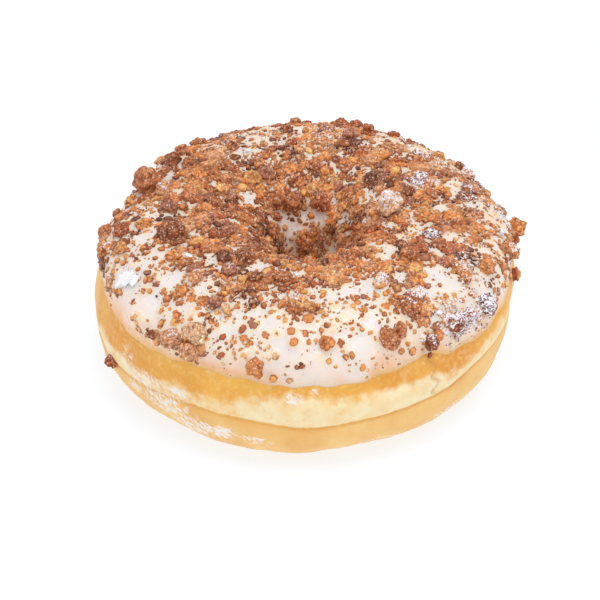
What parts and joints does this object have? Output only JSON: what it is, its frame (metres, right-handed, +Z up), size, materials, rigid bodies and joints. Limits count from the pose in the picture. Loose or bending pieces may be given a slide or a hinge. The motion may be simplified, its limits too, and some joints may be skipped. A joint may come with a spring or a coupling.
{
  "type": "iced ring doughnut",
  "caption": "Raised ring doughnut with a flat base and an open centre hole, white icing over its top and a crust of baked crumble on the icing.",
  "frame": {"origin": "on the table under the middle of the part, 1 mm to the +X side of the ring's own middle", "axes": "+Z up out of the hole, -Y towards the side that shows the crease and the thinnest crumble"},
  "size_m": [0.0981, 0.0961, 0.0414],
  "materials": {
    "dough": "soft fried crust, golden above and tan below with a pale proof band",
    "icing": "thin set white sugar icing, slightly see-through at its edge",
    "crumble": "rough baked crumble in golden, tan and dark brown, partly dusted with sugar"
  },
  "bodies": {
    "root": {"dough": "dough", "icing": "icing"}
  },
  "joints": []
}
